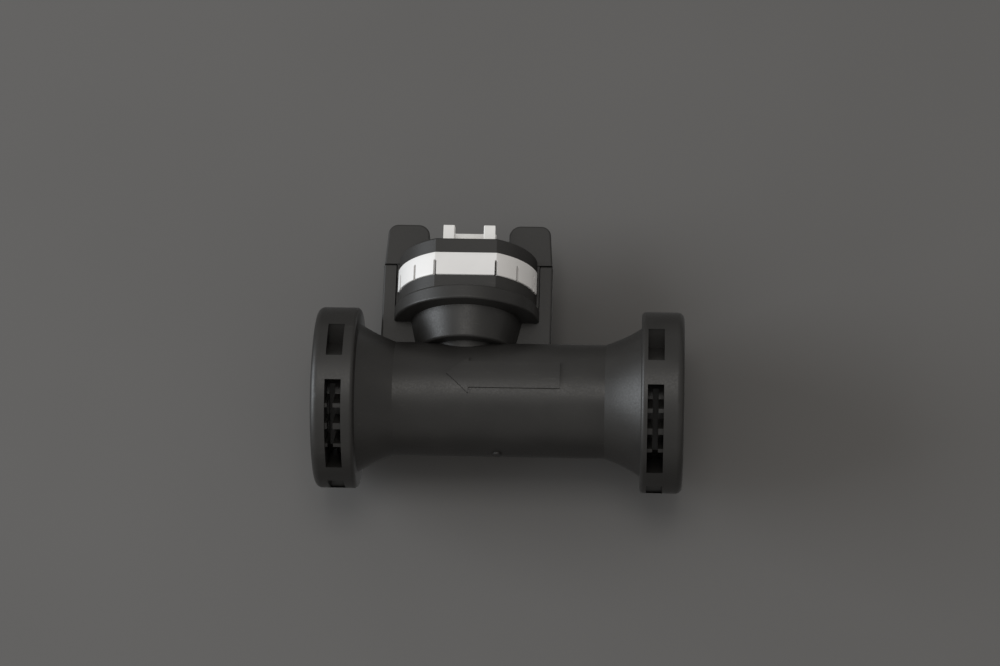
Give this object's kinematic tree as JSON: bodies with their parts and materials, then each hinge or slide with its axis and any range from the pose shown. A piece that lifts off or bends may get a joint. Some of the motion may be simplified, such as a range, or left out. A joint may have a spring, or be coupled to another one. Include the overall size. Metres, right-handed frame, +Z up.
{
  "type": "water flow sensor",
  "caption": "Inline vortex water flow sensor: black moulded tube with slotted socket collars at both ends and a round sensor head with a white band, two ears and a small pin header.",
  "frame": {"origin": "where the axis of the flow tube crosses the axis of the sensor head", "axes": "+X along the flow tube towards the inlet socket, so water flows towards -X; +Z up the sensor head towards its connector; the flat front of the head and the flow arrow face -Y"},
  "size_m": [0.0708, 0.035, 0.0538],
  "materials": {
    "housing_black": "glass-filled black polyamide, fine spark-eroded texture, satin on the turned and flared faces",
    "band_white": "smooth white plastic, satin, bare of print",
    "header_white": "slightly cream white connector plastic, satin",
    "paddle_polymer": "smooth natural fluoropolymer",
    "clamp_plastic": "dark grey moulded plastic, satin",
    "seal_rubber": "matte black elastomer",
    "board_green": "glass-epoxy board with green solder mask",
    "chip_mould": "black moulding compound",
    "capacitor_ceramic": "tan ceramic with tinned end caps",
    "resistor_film": "black resistive film on white ceramic with tinned end caps",
    "piezo_ceramic": "fired ceramic strip with silvered faces",
    "tinned_metal": "tin-plated copper alloy"
  },
  "bodies": {
    "root": {"chip_resistor_1": "resistor_film", "chip_resistor_2": "resistor_film", "chip_resistor_3": "resistor_film", "chip_resistor_4": "resistor_film", "circuit_board": "board_green", "connector_header": "header_white", "contact_pin_1": "tinned_metal", "contact_pin_2": "tinned_metal", "contact_pin_3": "tinned_metal", "cover_seal": "seal_rubber", "filter_capacitor_1": "capacitor_ceramic", "filter_capacitor_2": "capacitor_ceramic", "filter_capacitor_3": "capacitor_ceramic", "flow_tube": "housing_black", "head_cover": "housing_black", "marking_band": "band_white", "microcontroller": "chip_mould", "paddle_clamp": "clamp_plastic", "paddle_seal": "seal_rubber", "piezo_element": "piezo_ceramic", "piezo_lead_1": "tinned_metal", "piezo_lead_2": "tinned_metal", "sensor_paddle": "paddle_polymer", "signal_amplifier": "chip_mould", "surge_diode": "chip_mould", "voltage_regulator": "chip_mould"}
  },
  "joints": []
}
